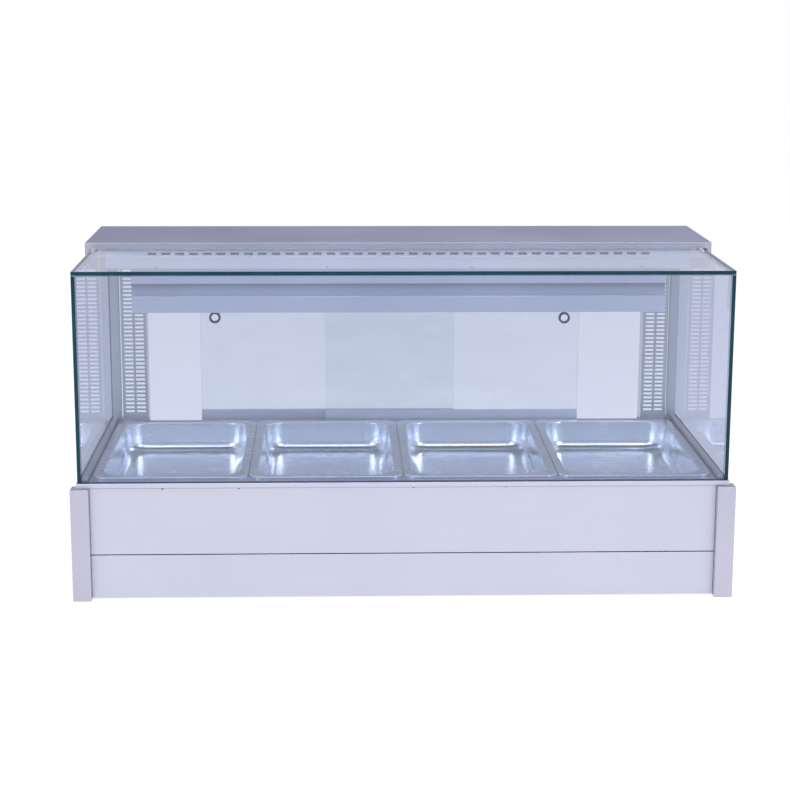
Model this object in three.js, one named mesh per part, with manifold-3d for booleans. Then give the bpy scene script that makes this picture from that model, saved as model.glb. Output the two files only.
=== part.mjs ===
// Countertop hot food display case: full-size food pans in a heated base, a square glass box,
// a steel canopy with heat lamps, and two sliding glass doors on the operator's side.
// Millimetres. X to the customer's right, Y from the customer to the operator, Z up.
import * as THREE from 'three';
import { mergeVertices } from 'three/addons/utils/BufferGeometryUtils.js';
import Module from 'manifold-3d';

const wasm = await Module();
wasm.setup();

// ---------------------------------------------------------------- driving dimensions
// Sheet steel, and the gap left between pieces that touch.
const sheet = 1.5;
const fit = 0.3;

// Food pans, full-size gastronorm. The rim rests on a ledge of the deck.
const panCount = 4;
const panWidth = 324;
const panLength = 530;
const panDepth = 65;
const panGap = 2;
const panRim = 14;
const panRimDrop = 4;
const panWall = 1;
const panTaper = 7;
const panCornerRadius = 45;
const panFloorRadius = 14;
const panEdgeRadius = 4;

// Deck and the margins that it leaves around the pans.
const deckHeight = 250;
const sideMargin = 26.5;
const frontMargin = 30;
const rearMargin = 70;
const deckLedge = 9;
const deckOverhang = 3;
const deckLip = 10;
const deckRearInset = 2;

// Base: corner posts, panels and the heated well.
const postWidth = 38;
const postDepth = 36;
const postProudFront = 18;
const postProudSide = 14;
const postDrain = 5;
const frontPanelSplit = 96;
const panelGap = 2;
const floorGap = 3;
const rearPanelInset = 18;
const panelFlange = 15;
const sideFlange = 30;
const wellHeadroom = 55;
const wellFlange = 9;
const wellClearance = 2;
const barWidth = 18;
const barHeight = 12;
const barTongue = 6;
const elementRadius = 4;
const elementRise = 14;
const elementSpread = 100;
const elementBendMargin = 20;
const elementTail = 22;

// Glass box.
const glassThickness = 8;
const glassHeight = 442;
const sillWidth = 12;
const sillHeight = 10;
const channelWidth = 20;
const channelDepth = 20;
const channelAhead = 2;

// Rear columns, with their ventilation slots.
const channelGap = 4;
const columnWidth = 59.5;
const columnDepth = 43;
const columnSlotLength = 20;
const columnSlotHeight = 5;
const columnSlotPitch = 9.6;
const columnSlotSpread = 26;
const columnSlotsFromFoot = 20;
const columnSlotsToTop = 85;

// Canopy, slotted fascia and lamp housing.
const canopyDepth = 302;
const canopyOverhang = 12.5;
const canopyRise = 15.5;
const canopyLip = 13;
const canopyEnd = 27;
const canopyEndReturn = 10;
const canopyRearReturn = 30;
const fasciaSetback = 15;
const fasciaInset = 22.6;
const fasciaSlope = 6;
const fasciaStripDrop = 9;
const fasciaBandDrop = 26;
const fasciaSlotWidth = 19.5;
const fasciaSlotHeight = 5;
const fasciaSlotPitch = 30.3;
const fasciaSlotMargin = 77;
const fasciaFlange = 20;
const ductDepth = 56;
const ductEndInset = 30;
const ductBelowSlots = 1;
const ductFootFlange = 8;
const housingOverlap = 7;
const housingDepth = 66;
const housingWall = 2;
const housingUpperFace = 33;
const housingRecess = 30.5;
const housingRecessDepth = 10;
const housingLowerFace = 35.5;
const housingLowerStep = 4;
const lampCount = 3;
const lampRadius = 5;
const lampAboveMouth = 32;
const lampHolderWidth = 16;
const lampHolderDepth = 24;
const lampHolderBelow = 12;
const ventCount = 7;
const ventPitch = 27;
const ventWidth = 12;
const ventHeight = 4;
const ventDrop = 11;

// Sliding doors on the operator's side, standing part open.
const doorGlass = 5;
const doorOverlap = 32;
const doorSideGap = 1;
const doorRailThickness = 9;
const doorRailHeight = 37;
const doorRailFloor = 2.5;
const doorInTopTrack = 22;
const leftDoorOpen = 123;
const rightDoorOpen = 150;
const trackSlot = 13;
const trackSetback = 4;
const trackDrop = 18;
const bottomTrackHeight = 7;
const topTrackHeight = 42;
const ringHeight = 243;
const ringInset = 35;
const ringOuterRadius = 13.5;
const ringInnerRadius = 8.5;
const ringNeck = 2;
const ringFlange = 1.2;

// Controls in the rear panel.
const controlHeight = 190;
const knobX = -120;
const knobRadius = 21;
const knobGripRadius = 16;
const knobDepth = 14;
const knobGap = 1.5;
const knobPointer = 1.5;
const shaftRadius = 3;
const knobSocket = 10;
const thermostatSize = 40;
const thermostatDepth = 36;
const powerSwitchX = -190;
const lampSwitchX = -240;
const switchWidth = 31;
const switchHeight = 25;
const switchBezel = 2;
const switchRim = 2;
const switchBodyDepth = 24;
const rockerWidth = 22;
const rockerRadius = 8;
const rockerCrest = 4;
const rockerDip = 2.2;
const rockerClearance = 1;
const rockerTilt = THREE.MathUtils.degToRad(10);
const pilotX = -285;
const pilotRadius = 6;
const pilotDepth = 5;
const pilotBodyDepth = 16;
const glandX = 420;
const glandHeight = 60;
const glandRadius = 11;
const glandBore = 4.5;
const glandLength = 14;
const glandShank = 12;
const terminalX = 330;
const terminalLength = 60;
const terminalWidth = 22;
const terminalHeight = 26;

// ---------------------------------------------------------------- places worked out from them
const panPitch = panWidth + panGap;
const panFieldHalf = (panCount * panPitch - panGap) / 2;
const panFront = frontMargin;
const panRear = panFront + panLength;
const caseFront = -postProudFront;
const caseRear = panRear + rearMargin;
const glassHalf = panFieldHalf + sideMargin;
const glassInside = glassHalf - glassThickness;
const glassTop = deckHeight + glassHeight;
const paneUnderside = glassTop - glassThickness;
const canopyTop = glassTop + canopyRise;
const canopyUnderside = canopyTop - sheet;
const canopyFront = caseRear - canopyDepth;
const canopyHalf = glassHalf + canopyOverhang;
const onDeck = deckHeight + fit;
const underCanopy = canopyUnderside - fit;

const postOuter = glassHalf + postProudSide;
const postInner = postOuter - postWidth;
const postTop = deckHeight - deckLip - fit;
const panelHalf = postInner - fit;
const panelTop = deckHeight - sheet - fit;
const rearPanelFace = caseRear - rearPanelInset;
const controlFace = rearPanelFace + fit;
const rearPanelBack = rearPanelFace - sheet;
const deckHalf = glassHalf + deckOverhang;
const deckRear = caseRear - deckRearInset;
const openingSide = panFieldHalf - deckLedge;
const openingFront = panFront + deckLedge;
const openingRear = panRear - deckLedge;
const wellHalf = openingSide + wellClearance;
const wellFront = openingFront - wellClearance;
const wellRear = openingRear + wellClearance;
const wellTop = deckHeight - 2 * sheet - 2 * fit;
const wellBottom = deckHeight + panRimDrop - panDepth - wellHeadroom;
const elementLevel = wellBottom + sheet + elementRise;

const columnOuter = glassInside - fit - channelWidth - channelGap;
const doorwayHalf = columnOuter - columnWidth;
const columnRear = caseRear - sheet - fit;
const columnFace = columnRear - columnDepth;
const fasciaHalf = glassInside - fasciaInset;
const fasciaFace = canopyFront + fasciaSetback;
const fasciaStripBottom = paneUnderside - fasciaStripDrop;
const fasciaBottom = fasciaStripBottom - fasciaBandDrop;
const fasciaSlotTop = paneUnderside - fit;
const fasciaSlotFoot = fasciaSlotTop - fasciaSlotHeight;
const housingHalf = doorwayHalf + housingOverlap;
const housingFace = fasciaFace - fasciaSlope;
const housingRear = housingFace + housingDepth;
const housingTop = fasciaBottom - fit;
const housingBottom = housingTop - housingUpperFace - housingRecess - housingLowerFace;
const housingLowerFront = housingFace + housingRecessDepth - housingLowerStep;
const lampY = (housingLowerFront + housingRear) / 2;
const lampZ = housingBottom + lampAboveMouth;
const lampSpan = 2 * (housingHalf - housingWall - fit) - lampHolderWidth;
const lampPitch = lampSpan / lampCount;

const doorWidth = doorwayHalf - doorSideGap + doorOverlap / 2;
const trackFront = columnFace + trackSetback;
const trackPitch = sheet + trackSlot;
const frontDoorY = trackFront + sheet + trackSlot / 2;
const rearDoorY = frontDoorY + trackPitch;
const trackFoot = onDeck - trackDrop;
const trackShelfTop = trackFoot - fit;
const doorBottom = trackFoot + sheet + fit;
const topTrackBottom = underCanopy - topTrackHeight;
const doorTop = topTrackBottom + doorInTopTrack;
const ringZ = deckHeight + ringHeight;

// ---------------------------------------------------------------- finishes
function finish(color, roughness, metalness, opacity = 1) {
  const transparent = opacity < 1;
  return new THREE.MeshStandardMaterial({ color, roughness, metalness, opacity, transparent });
}

const panelSteel = finish(0xd2d2e6, 0.35, 0.9);
const postSteel = finish(0xc8c6d8, 0.4, 0.9);
const canopySteel = finish(0x8f93b0, 0.4, 0.9);
const fasciaSteel = finish(0xb2bfd2, 0.35, 0.9);
const panSteel = finish(0xa0aec3, 0.25, 1);
const frameSteel = finish(0x9aa6ba, 0.35, 0.9);
const clearGlass = finish(0xc7e0e4, 0.05, 0, 0.3);
const ringPlastic = finish(0x4f5f7d, 0.4, 0);
const blackPlastic = finish(0x1c1d20, 0.45, 0);
const redLens = finish(0xb3261e, 0.2, 0, 0.9);
const elementMetal = finish(0x5b5f66, 0.5, 0.8);
const quartz = finish(0xe6d9c8, 0.15, 0, 0.7);
const ceramic = finish(0xe9e5da, 0.6, 0);

// ---------------------------------------------------------------- shape helpers
const root = new THREE.Group();

function add(name, geometry, material) {
  const mesh = new THREE.Mesh(geometry, material);
  mesh.name = name;
  root.add(mesh);
}

function sideName(side) {
  return side < 0 ? 'left' : 'right';
}

// A box given by its two ends along each axis.
function block(x0, x1, y0, y1, z0, z1) {
  const geometry = new THREE.BoxGeometry(x1 - x0, y1 - y0, z1 - z0);
  return geometry.translate((x0 + x1) / 2, (y0 + y1) / 2, (z0 + z1) / 2);
}

// A box between two distances from the middle, on the left for side -1 and the right for 1.
function sideBlock(side, inner, outer, y0, y1, z0, z1) {
  const x0 = side < 0 ? -outer : inner;
  const x1 = side < 0 ? -inner : outer;
  return block(x0, x1, y0, y1, z0, z1);
}

function toSolid(geometry) {
  const bare = geometry.clone();
  bare.deleteAttribute('normal');
  bare.deleteAttribute('uv');
  const merged = mergeVertices(bare, 1e-4);
  return new wasm.Manifold(new wasm.Mesh({
    numProp: 3,
    vertProperties: new Float32Array(merged.attributes.position.array),
    triVerts: new Uint32Array(merged.index.array),
  }));
}

function toGeometry(solid) {
  const mesh = solid.getMesh();
  const geometry = new THREE.BufferGeometry();
  geometry.setAttribute('position', new THREE.BufferAttribute(mesh.vertProperties, 3));
  geometry.setIndex(new THREE.BufferAttribute(mesh.triVerts, 1));
  geometry.computeVertexNormals();
  return geometry;
}

// One body made of parts that run into each other, less the cuts.
function joined(parts, cuts = []) {
  let solid = toSolid(parts[0]);
  for (const part of parts.slice(1)) {
    solid = solid.add(toSolid(part));
  }
  for (const cut of cuts) {
    solid = solid.subtract(toSolid(cut));
  }
  return toGeometry(solid);
}

// A round section made of straight sides.
function roundSection(radius, sides) {
  const points = [];
  for (let i = 0; i < sides; i += 1) {
    const angle = 2 * Math.PI * i / sides;
    points.push(new THREE.Vector2(radius * Math.cos(angle), radius * Math.sin(angle)));
  }
  return new THREE.Shape(points);
}

// A bar along X, its section drawn as points in Y and Z, anticlockwise seen from +X.
function barAlongX(points, x0, x1) {
  const shape = new THREE.Shape(points.map(([y, z]) => new THREE.Vector2(y, z)));
  const geometry = new THREE.ExtrudeGeometry(shape, { depth: x1 - x0, bevelEnabled: false });
  geometry.rotateZ(Math.PI / 2);
  geometry.rotateY(Math.PI / 2);
  return geometry.translate(x0, 0, 0);
}

function rodAlongY(radius, x, z, y0, y1, sides = 20) {
  const geometry = new THREE.CylinderGeometry(radius, radius, y1 - y0, sides);
  return geometry.translate(x, (y0 + y1) / 2, z);
}

// A turned piece about an axis along Y, its profile drawn as radius and Y.
function turnedAlongY(profile, x, z, sides = 28) {
  const points = profile.map(([radius, y]) => new THREE.Vector2(radius, y));
  return new THREE.LatheGeometry(points, sides).translate(x, 0, z);
}

// ---------------------------------------------------------------- base
// Folded box posts that the case stands on, each with a drain hole in its foot.
function buildPosts() {
  const ends = [
    ['front', caseFront, caseFront + postDepth],
    ['rear', caseRear - postDepth, caseRear],
  ];
  for (const [end, y0, y1] of ends) {
    for (const side of [-1, 1]) {
      const shell = sideBlock(side, postInner, postOuter, y0, y1, 0, postTop);
      const hollow = sideBlock(
        side, postInner + sheet, postOuter - sheet, y0 + sheet, y1 - sheet, sheet, postTop - sheet,
      );
      const drain = new THREE.CylinderGeometry(postDrain, postDrain, 4 * sheet, 12);
      drain.rotateX(Math.PI / 2);
      drain.translate(side * (postInner + postOuter) / 2, (y0 + y1) / 2, 0);
      add(`corner_post_${end}_${sideName(side)}`, joined([shell], [hollow, drain]), postSteel);
    }
  }
}

function buildFrontPanels() {
  const upperFoot = frontPanelSplit + panelGap / 2;
  const lowerTop = frontPanelSplit - panelGap / 2;
  const upper = block(-panelHalf, panelHalf, 0, sheet, upperFoot, panelTop);
  const upperFlange = block(-panelHalf, panelHalf, 0, panelFlange, panelTop - sheet, panelTop);
  add('front_panel_upper', joined([upper, upperFlange]), panelSteel);
  const lower = block(-panelHalf, panelHalf, 0, sheet, floorGap, lowerTop);
  const lowerFlange = block(-panelHalf, panelHalf, 0, panelFlange, floorGap, floorGap + sheet);
  add('front_panel_lower', joined([lower, lowerFlange]), panelSteel);
}

function buildSidePanels() {
  const y0 = caseFront + postDepth + fit;
  const y1 = caseRear - postDepth - fit;
  for (const side of [-1, 1]) {
    const face = sideBlock(side, glassHalf - sheet, glassHalf, y0, y1, floorGap, panelTop);
    const foot = sideBlock(
      side, glassHalf - sideFlange, glassHalf, y0, y1, floorGap, floorGap + sheet,
    );
    add(`side_panel_${sideName(side)}`, joined([face, foot]), panelSteel);
  }
}

function buildBasePlate() {
  const z = floorGap + sheet + fit;
  const plate = block(-panelHalf, panelHalf, sheet + fit, rearPanelBack - fit, z, z + sheet);
  add('base_plate', plate, frameSteel);
}

// The control panel faces the operator, between the rear posts.
function buildRearPanel() {
  const y0 = rearPanelBack - 1;
  const y1 = rearPanelFace + 1;
  const cuts = [
    rodAlongY(shaftRadius + sheet, knobX, controlHeight, y0, y1),
    rodAlongY(pilotRadius - sheet + fit, pilotX, controlHeight, y0, y1),
    rodAlongY(glandRadius - 2 * sheet + fit, glandX, glandHeight, y0, y1),
  ];
  for (const x of [powerSwitchX, lampSwitchX]) {
    const halfX = switchWidth / 2 - switchRim + fit;
    const halfZ = switchHeight / 2 - switchRim + fit;
    cuts.push(block(
      x - halfX, x + halfX, y0, y1, controlHeight - halfZ, controlHeight + halfZ,
    ));
  }
  const face = block(
    -panelHalf, panelHalf, rearPanelBack, rearPanelFace, floorGap, panelTop,
  );
  const flange = block(
    -panelHalf, panelHalf, rearPanelFace - panelFlange, rearPanelFace, floorGap, floorGap + sheet,
  );
  const trackShelf = block(
    -doorwayHalf, doorwayHalf, rearPanelFace - panelFlange, rearPanelFace,
    trackShelfTop - sheet, trackShelfTop,
  );
  const trackNotch = block(-doorwayHalf, doorwayHalf, y0, y1, trackShelfTop, panelTop + 1);
  add('rear_panel', joined([face, flange, trackShelf], [...cuts, trackNotch]), panelSteel);
}

// One sheet with a folded lip, an opening that the pans hang in and a rear notch for the door track.
function buildDeck() {
  const tray = block(-deckHalf, deckHalf, -deckOverhang, deckRear, deckHeight - deckLip, deckHeight);
  const underneath = block(
    -deckHalf + sheet, deckHalf - sheet, -deckOverhang + sheet, deckRear - sheet,
    deckHeight - deckLip - 1, deckHeight - sheet,
  );
  const opening = block(
    -openingSide, openingSide, openingFront, openingRear, deckHeight - deckLip, deckHeight + 1,
  );
  const trackNotch = block(
    -doorwayHalf, doorwayHalf, trackFront - fit, deckRear + 1, deckHeight - deckLip - 1, deckHeight + 1,
  );
  add('deck_frame', joined([tray], [underneath, opening, trackNotch]), frameSteel);
}

// Inverted channels between neighbouring pans; their end tongues lie on the well's flange.
function buildSupportBars() {
  const z1 = deckHeight;
  const z0 = z1 - barHeight;
  const y0 = openingFront + fit;
  const y1 = openingRear - fit;
  for (let i = 1; i < panCount; i += 1) {
    const x = (i - panCount / 2) * panPitch;
    const half = barWidth / 2;
    const channel = block(x - half, x + half, y0, y1, z0, z1);
    const hollow = block(x - half + sheet, x + half - sheet, y0 - 1, y1 + 1, z0 - 1, z1 - sheet);
    const shell = toGeometry(toSolid(channel).subtract(toSolid(hollow)));
    const tongueTop = deckHeight - sheet - fit;
    const reach = wellClearance + sheet + barTongue;
    const front = block(x - half, x + half, y0 - reach, y0 + reach, tongueTop - sheet, tongueTop);
    const rear = block(x - half, x + half, y1 - reach, y1 + reach, tongueTop - sheet, tongueTop);
    add(`pan_support_bar_${i}`, joined([shell, front, rear]), frameSteel);
  }
}

function elementLegs() {
  const centres = [-panPitch, panPitch];
  return centres.map((x) => [x - elementSpread, x + elementSpread]);
}

function buildWell() {
  const outer = block(
    -wellHalf - sheet, wellHalf + sheet, wellFront - sheet, wellRear + sheet, wellBottom, wellTop,
  );
  const reach = sheet + wellFlange;
  const flange = block(
    -wellHalf - reach, wellHalf + reach, wellFront - reach, wellRear + reach, wellTop - sheet, wellTop,
  );
  const inside = block(-wellHalf, wellHalf, wellFront, wellRear, wellBottom + sheet, wellTop + 1);
  const holes = elementLegs().flat().map((x) => (
    rodAlongY(elementRadius + fit, x, elementLevel, wellRear - 1, wellRear + sheet + 1, 12)
  ));
  add('well_tank', joined([outer, flange], [inside, ...holes]), frameSteel);
}

// Hairpin heating rods lying under the pans, their ends brought out through the well's rear wall.
function buildElements() {
  const section = roundSection(elementRadius, 8);
  const bendY = wellFront + elementSpread + elementBendMargin;
  const endY = wellRear + sheet + elementTail;
  const names = ['left', 'right'];
  elementLegs().forEach(([x0, x1], index) => {
    const middle = (x0 + x1) / 2;
    const route = [new THREE.Vector3(x0, endY, elementLevel)];
    for (let turn = 0; turn <= 12; turn += 1) {
      const angle = Math.PI * (1 + turn / 12);
      const x = middle + elementSpread * Math.cos(angle);
      const y = bendY + elementSpread * Math.sin(angle);
      route.push(new THREE.Vector3(x, y, elementLevel));
    }
    route.push(new THREE.Vector3(x1, endY, elementLevel));
    const extrudePath = new THREE.CatmullRomCurve3(route);
    const rod = new THREE.ExtrudeGeometry(section, {
      extrudePath, steps: 48, bevelEnabled: false,
    });
    add(`heating_element_${names[index]}`, rod, elementMetal);
  });
}

// ---------------------------------------------------------------- pans
// A ring of points round a rectangle with rounded corners.
function panRing(halfX, halfY, radius, z) {
  const corners = [[1, 1, 0], [-1, 1, 1], [-1, -1, 2], [1, -1, 3]];
  const steps = 5;
  const ring = [];
  for (const [sx, sy, quarter] of corners) {
    for (let step = 0; step <= steps; step += 1) {
      const angle = (quarter + step / steps) * Math.PI / 2;
      ring.push([
        sx * (halfX - radius) + radius * Math.cos(angle),
        sy * (halfY - radius) + radius * Math.sin(angle),
        z,
      ]);
    }
  }
  return ring;
}

// A closed skin through a list of rings, with a flat cap on the first and the last.
function loftedSkin(rings) {
  const count = rings[0].length;
  const last = (rings.length - 1) * count;
  const triangles = [];
  for (let level = 0; level < rings.length - 1; level += 1) {
    for (let i = 0; i < count; i += 1) {
      const a = level * count + i;
      const b = level * count + (i + 1) % count;
      triangles.push(a, b, b + count, a, b + count, a + count);
    }
  }
  for (let i = 1; i < count - 1; i += 1) {
    triangles.push(0, i + 1, i);
    triangles.push(last, last + i, last + i + 1);
  }
  const geometry = new THREE.BufferGeometry();
  geometry.setAttribute('position', new THREE.Float32BufferAttribute(rings.flat(2), 3));
  geometry.setIndex(triangles);
  geometry.computeVertexNormals();
  return geometry;
}

// One stamped pan, drawn from the underside of its floor out to the rim and back down inside.
function panGeometry() {
  const rimX = panWidth / 2;
  const rimY = panLength / 2;
  const top = deckHeight + panRimDrop + fit;
  const floor = top - panDepth;
  const levels = [];
  const bodyRing = (z, inward) => {
    const shrink = panRim + panTaper * (top - z) / panDepth + inward;
    levels.push([rimX - shrink, rimY - shrink, panCornerRadius - inward, z]);
  };
  bodyRing(floor, panFloorRadius);
  bodyRing(floor + panFloorRadius * 0.3, panFloorRadius * 0.3);
  bodyRing(floor + panFloorRadius, 0);
  bodyRing(top - panWall - panEdgeRadius, 0);
  const rimRadius = panRim + panCornerRadius / 2;
  levels.push([rimX - panRim + 1, rimY - panRim + 1, panCornerRadius, top - panWall]);
  levels.push([rimX - panWall, rimY - panWall, rimRadius - panWall, top - panWall]);
  levels.push([rimX - panWall, rimY - panWall, rimRadius - panWall, top - panRimDrop]);
  levels.push([rimX, rimY, rimRadius, top - panRimDrop]);
  levels.push([rimX, rimY, rimRadius, top]);
  levels.push([rimX - panRim, rimY - panRim, panCornerRadius, top]);
  bodyRing(top - panEdgeRadius, panWall);
  bodyRing(floor + panWall + panFloorRadius, panWall);
  bodyRing(floor + panWall + panFloorRadius * 0.3, panWall + panFloorRadius * 0.3);
  bodyRing(floor + panWall, panWall + panFloorRadius);
  return loftedSkin(levels.map((level) => panRing(...level)));
}

function buildPans() {
  for (let i = 0; i < panCount; i += 1) {
    const x = (i - (panCount - 1) / 2) * panPitch;
    const pan = panGeometry().translate(x, panFront + panLength / 2, 0);
    add(`food_pan_${i + 1}`, pan, panSteel);
  }
}

// ---------------------------------------------------------------- controls
function buildThermostat() {
  const half = thermostatSize / 2;
  const back = rearPanelBack - fit;
  const body = block(
    knobX - half, knobX + half, back - thermostatDepth, back,
    controlHeight - half, controlHeight + half,
  );
  const knobFoot = rearPanelFace + knobGap;
  const shaftEnd = knobFoot + knobSocket - fit;
  const shaft = rodAlongY(shaftRadius, knobX, controlHeight, back - half, shaftEnd);
  add('thermostat_body', joined([body, shaft]), blackPlastic);

  const face = knobFoot + knobDepth;
  const bore = shaftRadius + fit;
  const knob = turnedAlongY([
    [0, knobFoot + knobSocket],
    [bore, knobFoot + knobSocket],
    [bore, knobFoot],
    [knobRadius, knobFoot],
    [knobRadius, knobFoot + 3],
    [knobGripRadius + 1, knobFoot + 5],
    [knobGripRadius, face - 1],
    [knobGripRadius - 1, face],
    [0, face],
  ], knobX, controlHeight);
  const pointer = block(
    knobX - knobPointer, knobX + knobPointer, face - 1, face + knobPointer,
    controlHeight, controlHeight + knobGripRadius - 2,
  );
  add('thermostat_knob', joined([knob, pointer]), blackPlastic);
}

// A rocker's section about its pivot: round behind, with two shallow facets in front.
function rockerSection(y, z) {
  const points = [[rockerCrest, -rockerRadius], [rockerDip, 0], [rockerCrest, rockerRadius]];
  for (let step = 0; step <= 8; step += 1) {
    const angle = Math.PI / 2 + Math.PI * step / 8;
    points.push([rockerRadius * Math.cos(angle), rockerRadius * Math.sin(angle)]);
  }
  const cos = Math.cos(-rockerTilt);
  const sin = Math.sin(-rockerTilt);
  return points.map(([py, pz]) => [y + py * cos - pz * sin, z + py * sin + pz * cos]);
}

function buildSwitches() {
  const pivotY = controlFace;
  const z = controlHeight;
  const pocket = rockerRadius + rockerClearance;
  for (const [name, x] of [['power', powerSwitchX], ['lamp', lampSwitchX]]) {
    const halfX = switchWidth / 2;
    const halfZ = switchHeight / 2;
    const bezel = block(
      x - halfX, x + halfX, controlFace, controlFace + switchBezel, z - halfZ, z + halfZ,
    );
    const body = block(
      x - halfX + switchRim, x + halfX - switchRim,
      controlFace - switchBodyDepth, controlFace + switchBezel,
      z - halfZ + switchRim, z + halfZ - switchRim,
    );
    const halfPocket = rockerWidth / 2 + rockerClearance / 2;
    const hole = block(
      x - halfPocket, x + halfPocket, pivotY - pocket, pivotY + pocket, z - pocket, z + pocket,
    );
    add(`${name}_switch_body`, joined([bezel, body], [hole]), blackPlastic);
    const rocker = barAlongX(rockerSection(pivotY, z), x - rockerWidth / 2, x + rockerWidth / 2);
    add(`${name}_switch_rocker`, rocker, blackPlastic);
  }
}

function buildPilotLamp() {
  const shank = pilotRadius - sheet;
  const lamp = turnedAlongY([
    [0, controlFace - pilotBodyDepth],
    [shank, controlFace - pilotBodyDepth],
    [shank, controlFace],
    [pilotRadius, controlFace],
    [pilotRadius, controlFace + sheet],
    [pilotRadius - 2, controlFace + pilotDepth - 1],
    [0, controlFace + pilotDepth],
  ], pilotX, controlHeight, 20);
  add('pilot_lamp', lamp, redLens);
}

function buildCableEntry() {
  const shank = glandRadius - 2 * sheet;
  const gland = turnedAlongY([
    [glandBore, controlFace - glandShank],
    [shank, controlFace - glandShank],
    [shank, controlFace],
    [glandRadius, controlFace],
    [glandRadius, controlFace + 4],
    [shank, controlFace + glandLength],
    [glandBore, controlFace + glandLength],
    [glandBore, controlFace - glandShank],
  ], glandX, glandHeight, 20);
  add('cable_gland', gland, blackPlastic);

  const z = floorGap + 2 * sheet + 2 * fit;
  const y = rearPanelBack - 2 * terminalWidth;
  add('terminal_block', block(
    terminalX - terminalLength / 2, terminalX + terminalLength / 2,
    y, y + terminalWidth, z, z + terminalHeight,
  ), ceramic);
}

// ---------------------------------------------------------------- glass box
function buildGlass() {
  const head = paneUnderside - fit;
  const frontHalf = glassInside - fit;
  add('glass_front', block(-frontHalf, frontHalf, 0, glassThickness, onDeck, head), clearGlass);
  for (const side of [-1, 1]) {
    const pane = sideBlock(side, glassInside, glassHalf, 0, columnRear, onDeck, head);
    add(`glass_${sideName(side)}`, pane, clearGlass);
  }
  add('glass_top', block(
    -glassHalf, glassHalf, 0, fasciaFace - fit, paneUnderside, glassTop,
  ), clearGlass);
}

// Sills along the feet of the side panes, and upright channels that take their rear ends.
function buildGlassHolders() {
  const outer = glassInside - fit;
  const y0 = columnFace - channelAhead;
  const y1 = y0 + channelDepth;
  for (const side of [-1, 1]) {
    const sill = sideBlock(
      side, outer - sillWidth, outer, glassThickness + fit, y0 - fit, onDeck, onDeck + sillHeight,
    );
    add(`glass_sill_${sideName(side)}`, sill, frameSteel);
    const inner = outer - channelWidth;
    const tube = sideBlock(side, inner, outer, y0, y1, onDeck, underCanopy);
    const hollow = sideBlock(
      side, inner + sheet, outer - sheet, y0 + sheet, y1 - sheet, onDeck - 1, underCanopy + 1,
    );
    add(`glass_channel_${sideName(side)}`, joined([tube], [hollow]), frameSteel);
  }
}

// ---------------------------------------------------------------- rear columns
// Sheet folded into a channel open to the operator, with two rows of slots up its face.
function buildColumns() {
  const slotRoom = underCanopy - onDeck - columnSlotsFromFoot - columnSlotsToTop;
  const rows = Math.floor(slotRoom / columnSlotPitch);
  for (const side of [-1, 1]) {
    const middle = side * (doorwayHalf + columnOuter) / 2;
    const face = sideBlock(
      side, doorwayHalf, columnOuter, columnFace, columnFace + sheet, onDeck, underCanopy,
    );
    const doorSide = sideBlock(
      side, doorwayHalf, doorwayHalf + sheet, columnFace, columnRear, onDeck, underCanopy,
    );
    const glassSide = sideBlock(
      side, columnOuter - sheet, columnOuter, columnFace, columnRear, onDeck, underCanopy,
    );
    const slots = [];
    for (const spread of [-0.5, 0.5]) {
      const x = middle + spread * columnSlotSpread;
      for (let row = 0; row < rows; row += 1) {
        const z = onDeck + columnSlotsFromFoot + row * columnSlotPitch;
        slots.push(block(
          x - columnSlotLength / 2, x + columnSlotLength / 2,
          columnFace - 1, columnFace + sheet + 1, z, z + columnSlotHeight,
        ));
      }
    }
    add(`rear_column_${sideName(side)}`, joined([face, doorSide, glassSide], slots), fasciaSteel);
  }
}

// ---------------------------------------------------------------- canopy
function buildCanopy() {
  const top = block(-canopyHalf, canopyHalf, canopyFront, caseRear, canopyUnderside, canopyTop);
  const lip = block(
    -canopyHalf, canopyHalf, canopyFront, canopyFront + sheet, canopyTop - canopyLip, canopyTop,
  );
  const rear = block(
    -canopyHalf, canopyHalf, caseRear - sheet, caseRear, canopyTop - canopyRearReturn, canopyTop,
  );
  const parts = [top, lip, rear];
  for (const side of [-1, 1]) {
    const foot = canopyTop - canopyEnd;
    parts.push(sideBlock(
      side, canopyHalf - sheet, canopyHalf, canopyFront, caseRear, foot, canopyTop,
    ));
    parts.push(sideBlock(
      side, canopyHalf - canopyEndReturn, canopyHalf, canopyFront, canopyFront + sheet,
      foot, canopyTop,
    ));
  }
  add('canopy_cover', joined(parts), canopySteel);
}

// The slotted strip behind the top pane, the sloping band below it, and their flanges.
function buildFascia() {
  const strip = block(
    -fasciaHalf, fasciaHalf, fasciaFace, fasciaFace + sheet, fasciaStripBottom, underCanopy,
  );
  const band = barAlongX([
    [fasciaFace, fasciaStripBottom + sheet],
    [fasciaFace - fasciaSlope, fasciaBottom],
    [fasciaFace - fasciaSlope + sheet, fasciaBottom],
    [fasciaFace + sheet, fasciaStripBottom + sheet],
  ], -fasciaHalf, fasciaHalf);
  const topFlange = block(
    -fasciaHalf, fasciaHalf, fasciaFace, fasciaFace + fasciaFlange, underCanopy - sheet, underCanopy,
  );
  const bottomFlange = block(
    -fasciaHalf, fasciaHalf, housingFace, housingFace + fasciaFlange,
    fasciaBottom, fasciaBottom + sheet,
  );
  const slotRoom = 2 * (fasciaHalf - fasciaSlotMargin) - fasciaSlotWidth;
  const slotCount = Math.floor(slotRoom / fasciaSlotPitch) + 1;
  const slots = [];
  for (let i = 0; i < slotCount; i += 1) {
    const x = (i - (slotCount - 1) / 2) * fasciaSlotPitch;
    slots.push(block(
      x - fasciaSlotWidth / 2, x + fasciaSlotWidth / 2,
      fasciaFace - 1, fasciaFace + sheet + 1, fasciaSlotFoot, fasciaSlotTop,
    ));
  }
  add('canopy_fascia', joined([strip, band, topFlange, bottomFlange], slots), fasciaSteel);
}

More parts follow.
